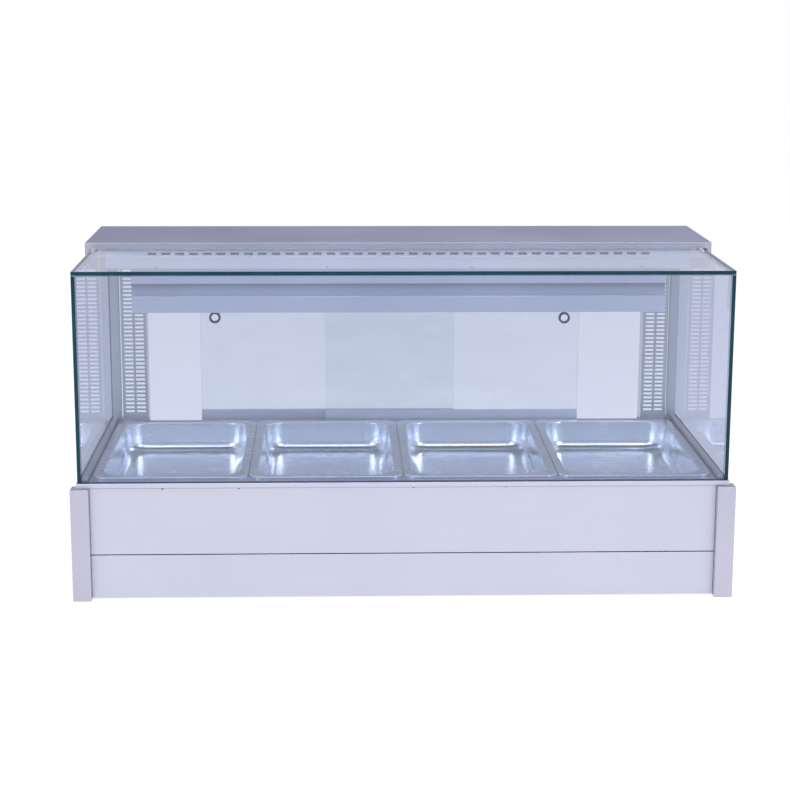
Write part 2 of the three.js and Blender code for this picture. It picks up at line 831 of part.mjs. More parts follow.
// A duct behind the fascia's slots: floor, rear wall and ends, closed above by the canopy.
function buildVentDuct() {
  const half = fasciaHalf - ductEndInset;
  const front = fasciaFace + sheet + fit;
  const rear = fasciaFace + ductDepth;
  const floorTop = fasciaSlotFoot - ductBelowSlots;
  const floorFoot = floorTop - sheet;
  const parts = [
    block(-half, half, front, rear, floorFoot, floorTop),
    block(-half, half, front, front + sheet, floorTop - ductFootFlange, floorTop),
    block(-half, half, rear - sheet, rear, floorFoot, underCanopy),
  ];
  for (const side of [-1, 1]) {
    parts.push(sideBlock(
      side, half - sheet, half, fasciaFace + fasciaFlange + fit, rear, floorFoot, underCanopy,
    ));
  }
  add('vent_duct', joined(parts), fasciaSteel);
}

// A long box open below, its front face folded into an upper face, a recess and a lower face.
function buildLampHousing() {
  const w = housingWall;
  const recessFront = housingFace + housingRecessDepth;
  const recessTop = housingTop - housingUpperFace;
  const lowerTop = recessTop - housingRecess;
  const outer = barAlongX([
    [housingFace, housingTop],
    [housingFace, recessTop],
    [recessFront, recessTop],
    [recessFront, lowerTop],
    [housingLowerFront, lowerTop],
    [housingLowerFront, housingBottom],
    [housingRear, housingBottom],
    [housingRear, housingTop],
  ], -housingHalf, housingHalf);
  const inside = barAlongX([
    [housingFace + w, housingTop - w],
    [housingFace + w, recessTop + w],
    [recessFront + w, recessTop + w],
    [recessFront + w, lowerTop - w],
    [housingLowerFront + w, lowerTop - w],
    [housingLowerFront + w, housingBottom - 1],
    [housingRear - w, housingBottom - 1],
    [housingRear - w, housingTop - w],
  ], -housingHalf + w, housingHalf - w);
  const vents = [];
  for (let lamp = 0; lamp < lampCount; lamp += 1) {
    const middle = (lamp - (lampCount - 1) / 2) * lampPitch;
    for (let i = 0; i < ventCount; i += 1) {
      const x = middle + (i - (ventCount - 1) / 2) * ventPitch;
      vents.push(block(
        x - ventWidth / 2, x + ventWidth / 2, housingFace - 1, housingFace + w + 1,
        housingTop - ventDrop - ventHeight / 2, housingTop - ventDrop + ventHeight / 2,
      ));
    }
  }
  add('lamp_housing', joined([outer], [inside, ...vents]), fasciaSteel);
}

function buildLamps() {
  const halfWidth = lampHolderWidth / 2;
  const holderTop = housingTop - housingWall - fit;
  for (let i = 0; i <= lampCount; i += 1) {
    const x = (i - lampCount / 2) * lampPitch;
    add(`lamp_holder_${i + 1}`, block(
      x - halfWidth, x + halfWidth, lampY - lampHolderDepth / 2, lampY + lampHolderDepth / 2,
      lampZ - lampHolderBelow, holderTop,
    ), ceramic);
  }
  const length = lampPitch - lampHolderWidth - 2 * fit;
  for (let i = 0; i < lampCount; i += 1) {
    const tube = new THREE.CylinderGeometry(lampRadius, lampRadius, length, 16);
    tube.rotateZ(Math.PI / 2);
    tube.translate((i - (lampCount - 1) / 2) * lampPitch, lampY, lampZ);
    add(`heat_lamp_tube_${i + 1}`, tube, quartz);
  }
}

// ---------------------------------------------------------------- doors
// Two slots side by side: a web with three fins, drawn towards the doors.
function trackSection(webZ, finZ) {
  const toDoors = Math.sign(finZ - webZ);
  const inner = webZ + toDoors * sheet;
  const y = trackFront;
  const points = [[y, webZ], [y, finZ]];
  for (let slot = 0; slot < 2; slot += 1) {
    const y0 = y + slot * trackPitch + sheet;
    points.push([y0, finZ], [y0, inner], [y0 + trackSlot, inner], [y0 + trackSlot, finZ]);
  }
  points.push([y + 2 * trackPitch + sheet, finZ], [y + 2 * trackPitch + sheet, webZ]);
  return points;
}

function buildTracks() {
  const half = doorwayHalf - fit;
  const bottom = trackSection(trackFoot, trackFoot + bottomTrackHeight);
  const top = trackSection(underCanopy, topTrackBottom);
  add('door_track_bottom', barAlongX(bottom, -half, half), frameSteel);
  add('door_track_top', barAlongX(top, -half, half), frameSteel);
}

// One door: a glass pane, a rail along its foot and a finger ring near its outer edge.
function buildDoor(side, y, opened) {
  const outerEdge = side * (doorwayHalf - doorSideGap) - side * opened;
  const innerEdge = outerEdge - side * doorWidth;
  const x0 = Math.min(outerEdge, innerEdge);
  const x1 = Math.max(outerEdge, innerEdge);
  const ringX = outerEdge - side * ringInset;
  const glassFoot = doorBottom + doorRailFloor + fit;
  const neck = ringInnerRadius + ringNeck;

  const pane = block(x0, x1, y - doorGlass / 2, y + doorGlass / 2, glassFoot, doorTop);
  const fingerHole = rodAlongY(neck + fit, ringX, ringZ, y - doorGlass, y + doorGlass, 24);
  add(`door_glass_${sideName(side)}`, joined([pane], [fingerHole]), clearGlass);

  const outer = doorRailThickness / 2;
  const groove = doorGlass / 2 + fit;
  const railTop = doorBottom + doorRailHeight;
  const railFloor = doorBottom + doorRailFloor;
  const rail = barAlongX([
    [y - outer, doorBottom],
    [y + outer, doorBottom],
    [y + outer, railTop],
    [y + groove, railTop],
    [y + groove, railFloor],
    [y - groove, railFloor],
    [y - groove, railTop],
    [y - outer, railTop],
  ], x0, x1);
  add(`door_rail_${sideName(side)}`, rail, frameSteel);

  const seat = doorGlass / 2 + fit;
  const ring = turnedAlongY([
    [ringInnerRadius, y - seat - ringFlange],
    [ringOuterRadius, y - seat - ringFlange],
    [ringOuterRadius, y - seat],
    [neck, y - seat],
    [neck, y + seat],
    [ringOuterRadius, y + seat],
    [ringOuterRadius, y + seat + ringFlange],
    [ringInnerRadius, y + seat + ringFlange],
    [ringInnerRadius, y - seat - ringFlange],
  ], ringX, ringZ, 24);
  add(`finger_ring_${sideName(side)}`, ring, ringPlastic);
}

// ---------------------------------------------------------------- the whole case
buildPosts();
buildFrontPanels();
buildSidePanels();
buildRearPanel();
buildBasePlate();
buildDeck();
buildSupportBars();
buildWell();
buildElements();
buildPans();
buildThermostat();
buildSwitches();
buildPilotLamp();
buildCableEntry();
buildGlass();
buildGlassHolders();
buildColumns();
buildCanopy();
buildFascia();
buildVentDuct();
buildLampHousing();
buildLamps();
buildTracks();
buildDoor(-1, rearDoorY, leftDoorOpen);
buildDoor(1, frontDoorY, rightDoorOpen);

// The origin is under the middle of the case, at the height of what it stands on.
root.position.y = -(caseFront + caseRear) / 2;

export default root;
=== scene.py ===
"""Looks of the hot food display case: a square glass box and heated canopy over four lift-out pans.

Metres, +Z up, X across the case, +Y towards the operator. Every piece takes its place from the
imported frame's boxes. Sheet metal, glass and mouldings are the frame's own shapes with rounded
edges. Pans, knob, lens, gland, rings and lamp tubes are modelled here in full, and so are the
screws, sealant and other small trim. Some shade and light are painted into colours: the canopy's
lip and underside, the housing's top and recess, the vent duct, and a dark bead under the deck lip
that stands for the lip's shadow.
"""

import math

import bmesh
import bpy
from mathutils import Matrix, Vector


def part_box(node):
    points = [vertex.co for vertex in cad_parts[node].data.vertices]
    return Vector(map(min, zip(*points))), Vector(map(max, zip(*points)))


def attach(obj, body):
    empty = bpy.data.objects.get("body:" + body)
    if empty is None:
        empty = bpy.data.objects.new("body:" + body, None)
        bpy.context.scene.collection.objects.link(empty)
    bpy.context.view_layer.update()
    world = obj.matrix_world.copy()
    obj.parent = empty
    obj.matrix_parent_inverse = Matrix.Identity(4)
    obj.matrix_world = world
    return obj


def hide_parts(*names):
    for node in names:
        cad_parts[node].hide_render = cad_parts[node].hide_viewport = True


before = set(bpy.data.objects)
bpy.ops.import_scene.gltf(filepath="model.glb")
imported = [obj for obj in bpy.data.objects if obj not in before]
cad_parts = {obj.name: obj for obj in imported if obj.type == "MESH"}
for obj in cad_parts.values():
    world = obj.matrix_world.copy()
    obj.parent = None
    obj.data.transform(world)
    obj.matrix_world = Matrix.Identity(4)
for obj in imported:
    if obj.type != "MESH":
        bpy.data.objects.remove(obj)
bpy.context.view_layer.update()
scene = bpy.context.scene

CASE = "case"
TURN = 2 * math.pi
WELD = 1e-5
FLAT_ANGLE = math.radians(0.5)
FOLD_ANGLE = math.radians(28)
SMOOTH_ANGLE = math.radians(38)
FACING = 0.9


# ------------------------------------------------------------------ stage, camera and light
def add_object(name, data):
    """A new object in the scene that holds this data."""
    obj = bpy.data.objects.new(name, data)
    scene.collection.objects.link(obj)
    return obj


def make_camera():
    """A long lens a little left of the middle, looking down on the case from the customer's side."""
    place = (-0.144, -4.1004, 1.2488)
    yaw, pitch, roll = 0.0326, 0.2111, 0.0031
    forward = Vector((
        math.sin(yaw) * math.cos(pitch),
        math.cos(yaw) * math.cos(pitch),
        -math.sin(pitch),
    ))
    level = forward.cross(Vector((0, 0, 1))).normalized()
    right = Matrix.Rotation(roll, 3, -forward) @ level
    up = right.cross(forward)
    data = bpy.data.cameras.new("camera")
    data.lens = 85.92
    data.sensor_width = 36
    data.dof.use_dof = False
    camera = add_object("camera", data)
    turned_frame = Matrix((right, up, -forward)).transposed().to_4x4()
    camera.matrix_world = Matrix.Translation(place) @ turned_frame
    scene.camera = camera


def area_light(name, place, target, width, height, power, colour):
    """A soft panel at a place, aimed at a target, that the camera does not see."""
    data = bpy.data.lights.new(name, "AREA")
    data.shape = "RECTANGLE"
    data.size = width
    data.size_y = height
    data.energy = power
    data.color = colour
    lamp = add_object(name, data)
    lamp.location = place
    aim = Vector(target) - Vector(place)
    lamp.rotation_euler = aim.to_track_quat("-Z", "Y").to_euler()
    lamp.visible_camera = False


def make_lights():
    """An overhead panel, a panel on each side of the customer and a weak one behind."""
    cool = (0.97, 0.985, 1.0)
    case_middle = (0, 0, 0.4)
    area_light("key_overhead", (-0.2, -0.9, 3.0), case_middle, 2.8, 1.6, 60, cool)
    area_light("side_left", (-2.6, -2.0, 2.2), case_middle, 0.8, 1.8, 34, cool)
    area_light("side_right", (2.6, -1.8, 2.2), case_middle, 0.8, 1.8, 44, cool)
    area_light("back", (0.6, 3.4, 3.6), case_middle, 2.0, 1.0, 12, cool)


def make_world():
    """A pale studio, brighter in front of the case than behind it, that itself shows as plain white."""
    behind, before = (0.44, 0.445, 0.50), (0.98, 0.985, 1.02)
    overhead, shown = (1.30, 1.32, 1.38), (1.10, 1.10, 1.11)
    strength = 0.92
    world = bpy.data.worlds.new("studio")
    scene.world = world
    world.use_nodes = True
    tree = world.node_tree
    nodes, links = tree.nodes, tree.links

    def ramp(value, start, end):
        """A smooth rise from 0 to 1 as the value goes from start to end."""
        rise = nodes.new("ShaderNodeMapRange")
        rise.interpolation_type = "SMOOTHSTEP"
        rise.inputs["From Min"].default_value = start
        rise.inputs["From Max"].default_value = end
        links.new(value, rise.inputs["Value"])
        return rise.outputs["Result"]

    def towards(factor, first, second):
        """A mix of the first colour, which may be another mix, into the second."""
        mix = nodes.new("ShaderNodeMix")
        mix.data_type = "RGBA"
        links.new(factor, mix.inputs["Factor"])
        if isinstance(first, tuple):
            mix.inputs["A"].default_value = (*first, 1)
        else:
            links.new(first, mix.inputs["A"])
        mix.inputs["B"].default_value = (*second, 1)
        return mix.outputs["Result"]

    split = nodes.new("ShaderNodeSeparateXYZ")
    links.new(nodes.new("ShaderNodeTexCoord").outputs["Generated"], split.inputs[0])
    around = towards(ramp(split.outputs["Y"], 0.75, -0.75), behind, before)
    dome = towards(ramp(split.outputs["Z"], 0.25, 0.95), around, overhead)
    seen = towards(nodes.new("ShaderNodeLightPath").outputs["Is Camera Ray"], dome, shown)
    background = nodes["Background"]
    links.new(seen, background.inputs["Color"])
    background.inputs["Strength"].default_value = strength


def make_floor():
    """A plain pale surface under the case."""
    half = 400.0
    mesh = bpy.data.meshes.new("floor")
    corners = [(-half, -half, 0), (half, -half, 0), (half, half, 0), (-half, half, 0)]
    mesh.from_pydata(corners, [], [(0, 1, 2, 3)])
    floor = add_object("floor", mesh)
    material = bpy.data.materials.new("floor_pale")
    material.use_nodes = True
    shader = material.node_tree.nodes["Principled BSDF"]
    shader.inputs["Base Color"].default_value = (0.30, 0.30, 0.305, 1)
    shader.inputs["Roughness"].default_value = 0.9
    shader.inputs["Specular IOR Level"].default_value = 0.0
    shader.inputs["Emission Color"].default_value = (0.99, 0.99, 1.0, 1)
    shader.inputs["Emission Strength"].default_value = 0.70
    mesh.materials.append(material)


# ------------------------------------------------------------------ material nodes
class Finish:
    """A material under construction, with short calls for the nodes that the finishes share."""

    def __init__(self, name):
        self.material = bpy.data.materials.new(name)
        self.material.use_nodes = True
        self.tree = self.material.node_tree
        self.tree.nodes.clear()
        self.place = self.node("ShaderNodeTexCoord").outputs["Object"]

    def node(self, kind, **settings):
        made = self.tree.nodes.new(kind)
        for key, value in settings.items():
            setattr(made, key, value)
        return made

    def link(self, source, target):
        self.tree.links.new(source, target)

    def noise(self, scale, stretch=(1, 1, 1), detail=4.0, rough=0.55):
        """Noise from 0 to 1 at a pitch of 1/scale metres, drawn out where stretch is small."""
        mapping = self.node("ShaderNodeMapping")
        mapping.inputs["Scale"].default_value = stretch
        self.link(self.place, mapping.inputs["Vector"])
        noise = self.node("ShaderNodeTexNoise")
        noise.inputs["Scale"].default_value = scale
        noise.inputs["Detail"].default_value = detail
        noise.inputs["Roughness"].default_value = rough
        self.link(mapping.outputs["Vector"], noise.inputs["Vector"])
        return noise.outputs["Fac"]

    def spread(self, value, low, high, to_low=0.0, to_high=1.0):
        """The value with its range from low to high carried onto to_low and to_high."""
        spread = self.node("ShaderNodeMapRange")
        spread.inputs["From Min"].default_value = low
        spread.inputs["From Max"].default_value = high
        spread.inputs["To Min"].default_value = to_low
        spread.inputs["To Max"].default_value = to_high
        self.link(value, spread.inputs["Value"])
        return spread.outputs["Result"]

    def math(self, operation, first, second):
        """One arithmetic step on two values, either of which may be a plain number."""
        step = self.node("ShaderNodeMath", operation=operation)
        for socket, value in zip(step.inputs, (first, second)):
            if isinstance(value, (int, float)):
                socket.default_value = value
            else:
                self.link(value, socket)
        return step.outputs["Value"]

    def blend(self, factor, first, second, mode="MIX"):
        """A colour between two colours, each given as a tuple or as another node's output."""
        mix = self.node("ShaderNodeMix", data_type="RGBA", blend_type=mode)
        self.link(factor, mix.inputs["Factor"])
        for key, colour in (("A", first), ("B", second)):
            if isinstance(colour, tuple):
                mix.inputs[key].default_value = (*colour, 1)
            else:
                self.link(colour, mix.inputs[key])
        return mix.outputs["Result"]

    def bump(self, height, strength, distance):
        bump = self.node("ShaderNodeBump")
        bump.inputs["Strength"].default_value = strength
        bump.inputs["Distance"].default_value = distance
        self.link(height, bump.inputs["Height"])
        return bump.outputs["Normal"]

    def principled(self, **sockets):
        """The main shader. Plain values are set on it and node outputs are linked to it."""
        shader = self.node("ShaderNodeBsdfPrincipled")
        for key, value in sockets.items():
            socket = shader.inputs[key.replace("_", " ")]
            if isinstance(value, bpy.types.NodeSocket):
                self.link(value, socket)
            elif isinstance(value, tuple):
                socket.default_value = (*value, 1)
            else:
                socket.default_value = value
        return shader.outputs["BSDF"]

    def mix_shaders(self, factor, first, second):
        mix = self.node("ShaderNodeMixShader")
        self.link(factor, mix.inputs["Fac"])
        self.link(first, mix.inputs[1])
        self.link(second, mix.inputs[2])
        return mix.outputs["Shader"]

    def done(self, surface):
        output = self.node("ShaderNodeOutputMaterial")
        self.link(surface, output.inputs["Surface"])
        return self.material


def axis_stretch(axis, along, across):
    """The noise scales for a grain that runs along X, Y or Z."""
    scales = [across] * 3
    scales["XYZ".index(axis)] = along
    return tuple(scales)


def steel(name, dark, light, grain="X", roughness=0.3, brush=0.04, smudge=0.05, painted_shade=None):
    """Stainless sheet: brushed lines along the grain and cloudy handling marks.

    painted_shade gives two heights between which the sheet is painted darker as shade, and the colour
    of that painted shade.
    """
    finish = Finish(name)
    lines = finish.noise(1.0, axis_stretch(grain, 3.0, 900.0), detail=5.0, rough=0.7)
    long_lines = finish.noise(1.0, axis_stretch(grain, 0.8, 90.0), detail=3.0)
    clouds = finish.noise(3.4, detail=3.0)
    marks = finish.noise(14.0, axis_stretch(grain, 0.6, 1.3), detail=6.0, rough=0.65)
    tone = finish.math("MULTIPLY", lines, 0.30)
    tone = finish.math("ADD", tone, finish.math("MULTIPLY", long_lines, 0.12))
    tone = finish.math("ADD", tone, finish.math("MULTIPLY", clouds, 0.58))
    colour = finish.blend(finish.spread(tone, 0.35, 0.65), dark, light)
    # Painted shade: the sheet darkens between two heights, as if shaded by what hangs over it.
    if painted_shade:
        unshaded_height, shaded_height, shade_colour = painted_shade
        split = finish.node("ShaderNodeSeparateXYZ")
        finish.link(finish.place, split.inputs["Vector"])
        share = finish.spread(split.outputs["Z"], unshaded_height, shaded_height)
        colour = finish.blend(finish.math("POWER", share, 1.6), colour, shade_colour)
    matt = finish.spread(clouds, 0.3, 0.7, -smudge, smudge)
    matt = finish.math("ADD", matt, finish.spread(lines, 0.3, 0.7, -brush, brush))
    matt = finish.math("ADD", matt, finish.spread(marks, 0.52, 0.72, 0.0, smudge))
    matt = finish.math("ADD", matt, roughness)
    relief = finish.math("ADD", finish.math("MULTIPLY", lines, 0.5), long_lines)
    normal = finish.bump(relief, 0.05, 0.0003)
    return finish.done(finish.principled(
        Base_Color=colour, Metallic=1.0, Roughness=matt, Normal=normal,
    ))


def pan_steel():
    """Drawn and polished gastronorm steel: mirror-like under a soft drawing grain."""
    finish = Finish("pan_steel")
    drawn = finish.noise(1.0, (4.0, 420.0, 420.0), detail=4.0, rough=0.6)
    clouds = finish.noise(7.0, detail=4.0)
    tone = finish.math("ADD", finish.math("MULTIPLY", drawn, 0.5), finish.math("MULTIPLY", clouds, 0.5))
    colour = finish.blend(finish.spread(tone, 0.35, 0.65), (0.88, 0.92, 0.95), (0.94, 0.97, 0.99))
    matt = finish.spread(clouds, 0.3, 0.7, 0.23, 0.28)
    matt = finish.math("ADD", matt, finish.spread(drawn, 0.3, 0.7, -0.02, 0.02))
    normal = finish.bump(drawn, 0.01, 0.0001)
    return finish.done(finish.principled(
        Base_Color=colour, Metallic=1.0, Roughness=matt, Normal=normal,
    ))


def film_mirror(finish):
    """The share of light that a pane mirrors, on the face that it meets first and not on the other."""
    fresnel = finish.node("ShaderNodeFresnel")
    fresnel.inputs["IOR"].default_value = 1.5
    backfacing = finish.node("ShaderNodeNewGeometry").outputs["Backfacing"]
    return finish.math("MULTIPLY", fresnel.outputs["Fac"], finish.math("SUBTRACT", 1.0, backfacing))


def glass(name, tint, streak_tint, haze):
    """A float glass face: clear and faintly tinted, mirror-like at a slant, with wiping smears."""
    finish = Finish(name)
    wiping = finish.noise(5.0, (1.0, 1.0, 2.2), detail=5.0, rough=0.6)
    ripple = finish.noise(1.6, detail=2.0)
    clear = finish.node("ShaderNodeBsdfTransparent")
    finish.link(finish.blend(finish.spread(ripple, 0.3, 0.7), tint, streak_tint), clear.inputs["Color"])
    gloss = finish.node("ShaderNodeBsdfGlossy")
    gloss.inputs["Color"].default_value = (1, 1, 1, 1)
    finish.link(finish.spread(wiping, 0.45, 0.75, 0.015, 0.06), gloss.inputs["Roughness"])
    dust = finish.node("ShaderNodeBsdfDiffuse")
    dust.inputs["Color"].default_value = (0.80, 0.83, 0.90, 1)
    film = finish.spread(wiping, 0.35, 0.8, haze * 0.35, haze)
    clean = finish.mix_shaders(film_mirror(finish), clear.outputs["BSDF"], gloss.outputs["BSDF"])
    return finish.done(finish.mix_shaders(film, clean, dust.outputs["BSDF"]))


def glass_edge(name, deep, bright):
    """The ground and polished edge of a pane, where the glass shows its own dark green-blue."""
    finish = Finish(name)
    depth = finish.noise(9.0, detail=4.0)
    ground = finish.noise(240.0, detail=3.0)
    colour = finish.blend(finish.spread(depth, 0.3, 0.7), deep, bright)
    matt = finish.spread(ground, 0.3, 0.7, 0.06, 0.2)
    return finish.done(finish.principled(
        Base_Color=colour, Roughness=matt, Specular_IOR_Level=0.22,
    ))


def moulded(name, dark, light, roughness, grain=700.0, relief=0.25):
    """Moulded plastic, rubber or ceramic: a fine moulding grain and slightly uneven colour."""
    finish = Finish(name)
    cloud = finish.noise(40.0, detail=4.0)
    fine = finish.noise(grain, detail=3.0)
    colour = finish.blend(finish.spread(cloud, 0.3, 0.7), dark, light)
    matt = finish.spread(cloud, 0.3, 0.7, roughness - 0.05, roughness + 0.07)
    normal = finish.bump(fine, relief, 0.0002)
    return finish.done(finish.principled(Base_Color=colour, Roughness=matt, Normal=normal))


def element_metal():
    """Heating element sheath: dark oxidised steel with heat-blued and straw patches."""
    finish = Finish("element_metal")
    heat = finish.noise(18.0, detail=5.0)
    drawn = finish.noise(1.0, (60.0, 900.0, 900.0), detail=4.0)
    colour = finish.blend(finish.spread(heat, 0.35, 0.65), (0.10, 0.09, 0.10), (0.26, 0.20, 0.15))
    matt = finish.spread(heat, 0.3, 0.7, 0.38, 0.58)
    normal = finish.bump(drawn, 0.2, 0.0003)
    return finish.done(finish.principled(
        Base_Color=colour, Metallic=0.85, Roughness=matt, Normal=normal,
    ))


def lens_red():
    """Clear red lens moulding with facets of brighter red inside."""
    finish = Finish("lens_red")
    facets = finish.node("ShaderNodeTexVoronoi")
    facets.inputs["Scale"].default_value = 900.0
    finish.link(finish.place, facets.inputs["Vector"])
    colour = finish.blend(facets.outputs["Distance"], (0.62, 0.02, 0.015), (0.28, 0.004, 0.004))
    normal = finish.bump(facets.outputs["Distance"], 0.15, 0.0003)
    return finish.done(finish.principled(
        Base_Color=colour, Roughness=0.12, Normal=normal, Coat_Weight=0.6, Coat_Roughness=0.04,
    ))


def quartz_tube():
    """Quartz lamp envelope: milky clear with drawn flow lines."""
    finish = Finish("quartz_tube")
    flow = finish.noise(1.0, (3.0, 300.0, 300.0), detail=4.0)
    milk = finish.noise(24.0, detail=4.0)
    clear = finish.node("ShaderNodeBsdfTransparent")
    finish.link(
        finish.blend(finish.spread(flow, 0.3, 0.7), (0.86, 0.88, 0.92), (0.95, 0.96, 0.98)),
        clear.inputs["Color"],
    )
    gloss = finish.principled(
        Base_Color=finish.blend(milk, (0.80, 0.82, 0.86), (0.92, 0.93, 0.95)), Roughness=0.08,
    )
    share = finish.spread(milk, 0.3, 0.7, 0.35, 0.55)
    return finish.done(finish.mix_shaders(share, clear.outputs["BSDF"], gloss))


make_camera()
make_world()
make_lights()
make_floor()

PANEL = steel("panel_steel", (0.52, 0.53, 0.635), (0.56, 0.565, 0.67), "X", 0.40, 0.02, 0.04)
POST = steel("post_steel", (0.445, 0.435, 0.53), (0.53, 0.515, 0.61), "Z", 0.36, 0.04, 0.05)
FRAME_STEEL = steel("frame_steel", (0.82, 0.875, 0.93), (0.89, 0.93, 0.97), "X", 0.34, 0.04, 0.05)
UPRIGHT = steel("upright_steel", (0.60, 0.635, 0.64), (0.67, 0.70, 0.70), "Z", 0.36, 0.05, 0.05)
BAND = steel("band_steel", (0.86, 0.885, 0.945), (0.92, 0.94, 0.985), "X", 0.32, 0.04, 0.04)
RAIL = steel("rail_aluminium", (0.92, 0.97, 1.0), (0.96, 0.99, 1.0), "X", 0.62, 0.04, 0.04)
CANOPY = steel("canopy_steel", (0.308, 0.314, 0.462), (0.355, 0.362, 0.52), "X", 0.34, 0.02, 0.03)
# The canopy's top and lip are one steel; the lip's lighter grey is painted light on its front faces.
LIP_PAINTED_LIGHT = steel("canopy_lip_painted_light", (0.385, 0.405, 0.465), (0.43, 0.45, 0.51), "X", 0.34, 0.02, 0.03)
# Near-black steel for the canopy's underside and the vent duct: painted shade.
UNDERSIDE_PAINTED_SHADE = steel("canopy_underside_painted_shade", (0.13, 0.135, 0.15), (0.19, 0.195, 0.215), "X", 0.45, 0.05, 0.08)
SIDE = steel("side_steel", (0.53, 0.525, 0.62), (0.60, 0.59, 0.69), "Y", 0.36, 0.04, 0.05)
SCREW = steel("screw_steel", (0.42, 0.43, 0.50), (0.60, 0.61, 0.68), "X", 0.30, 0.05, 0.08)
PAN = pan_steel()
FRONT_GLASS = glass("front_glass", (0.735, 0.76, 0.84), (0.75, 0.775, 0.85), 0.03)
TOP_GLASS = glass("top_glass", (0.89, 0.91, 0.97), (0.90, 0.92, 0.975), 0.02)
GLASS = glass("clear_glass", (0.90, 0.91, 0.95), (0.91, 0.92, 0.955), 0.02)
GLASS_EDGE = glass_edge("clear_glass_edge", (0.0006, 0.020, 0.036), (0.0012, 0.040, 0.060))
DOOR_GLASS = glass("door_glass", (0.975, 0.99, 0.985), (0.985, 0.995, 0.99), 0.07)
DOOR_EDGE = glass("door_glass_edge", (0.80, 0.87, 0.89), (0.85, 0.91, 0.93), 0.16)
BLACK = moulded("black_plastic", (0.012, 0.012, 0.014), (0.028, 0.028, 0.032), 0.38)
RING = moulded("ring_plastic", (0.05, 0.07, 0.13), (0.09, 0.12, 0.20), 0.30, relief=0.12)
CERAMIC = moulded("ceramic", (0.72, 0.69, 0.62), (0.84, 0.82, 0.76), 0.42, grain=420.0)
RESIN = moulded("old_resin", (0.20, 0.13, 0.09), (0.36, 0.25, 0.17), 0.55, relief=0.2)
WHITE_MARK = moulded("white_mark", (0.70, 0.71, 0.72), (0.84, 0.85, 0.86), 0.5, relief=0.1)
# Dark sealant for the sills; the same material is painted shadow in the bead under the deck lip.
SEALANT_AND_SHADOW_BEAD = moulded("sealant_and_shadow_bead", (0.055, 0.085, 0.125), (0.10, 0.145, 0.195), 0.22, relief=0.08)
ELEMENT = element_metal()
LENS = lens_red()
QUARTZ = quartz_tube()


# ------------------------------------------------------------------ making pieces
def place_piece(name, mesh, materials, body, replaced=()):
    """A finished mesh becomes a piece that rides on a body and may stand for CAD nodes."""
    for material in materials:
        mesh.materials.append(material)
    piece = add_object(name, mesh)
    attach(piece, body)
    if replaced:
        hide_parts(*replaced)
    return piece


def mesh_from(name, shape):
    """The bmesh as mesh data, shaded smooth but for its sharp folds."""
    bmesh.ops.recalc_face_normals(shape, faces=shape.faces)
    mesh = bpy.data.meshes.new(name)
    shape.to_mesh(mesh)
    shape.free()
    mesh.polygons.foreach_set("use_smooth", [True] * len(mesh.polygons))
    mesh.set_sharp_from_angle(angle=SMOOTH_ANGLE)
    return mesh


def own_shape(node):
    """A copy of the node's own shape, with its triangles joined along their edges."""
    shape = bmesh.new()
    shape.from_mesh(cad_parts[node].data)
    bmesh.ops.remove_doubles(shape, verts=shape.verts, dist=WELD)
    return shape


def softened(node, radius, segments):
    """The node's own shape with every fold and corner rounded to a radius."""
    shape = own_shape(node)
    bmesh.ops.dissolve_limit(
        shape, angle_limit=FLAT_ANGLE, verts=shape.verts, edges=shape.edges,
    )
    folds = [e for e in shape.edges if e.is_manifold and e.calc_face_angle(0) > FOLD_ANGLE]
    bmesh.ops.bevel(
        shape, geom=folds, offset=radius, segments=segments, profile=0.5,
        affect="EDGES", clamp_overlap=True, harden_normals=False,
    )
    return shape


def even_flats(piece):
    """Shades the piece's flats evenly, up to its rounded edges."""
    weigh = piece.modifiers.new("even flats", "WEIGHTED_NORMAL")
    weigh.keep_sharp = True


def soft_piece(node, material, body, radius=0.0006, segments=2):
    """A CAD node shown with rounded edges and even shading on its flats."""
    mesh = mesh_from(node + "_shell", softened(node, radius, segments))
    piece = place_piece(node + "_shell", mesh, [material], body, [node])
    even_flats(piece)
    return piece


def pane(node, faces, edges, body, axis, radius=0.0008, bonded=()):
    """A glass pane: its big faces and bonded edges in clear glass, its bare edges in edge glass."""
    mesh = mesh_from(node + "_pane", softened(node, radius, 2))
    piece = place_piece(node + "_pane", mesh, [faces, edges], body, [node])
    for face in mesh.polygons:
        big = abs(face.normal["XYZ".index(axis)]) > 0.999
        glued = any(face.normal.dot(Vector(outward)) > 0.6 for outward in bonded)
        face.material_index = 0 if big or glued else 1
    even_flats(piece)


def ring_of(half_x, half_y, radius, z, centre, steps):
    """The points of a rounded rectangle, anticlockwise seen from above."""
    points = []
    for quarter, (side_x, side_y) in enumerate(((1, 1), (-1, 1), (-1, -1), (1, -1))):
        for step in range(steps + 1):
            angle = (quarter + step / steps) * math.pi / 2
            points.append(Vector((
                centre.x + side_x * (half_x - radius) + radius * math.cos(angle),
                centre.y + side_y * (half_y - radius) + radius * math.sin(angle),
                z,
            )))
    return points


def loft(rings):
    """A skin through rings of equal count, with a face on the first and last ring."""
    shape = bmesh.new()
    levels = [[shape.verts.new(point) for point in ring] for ring in rings]
    count = len(levels[0])
    for lower, upper in zip(levels, levels[1:]):
        for i in range(count):
            j = (i + 1) % count
            shape.faces.new((lower[i], lower[j], upper[j], upper[i]))
    shape.faces.new(list(reversed(levels[0])))
    shape.faces.new(levels[-1])
    return shape


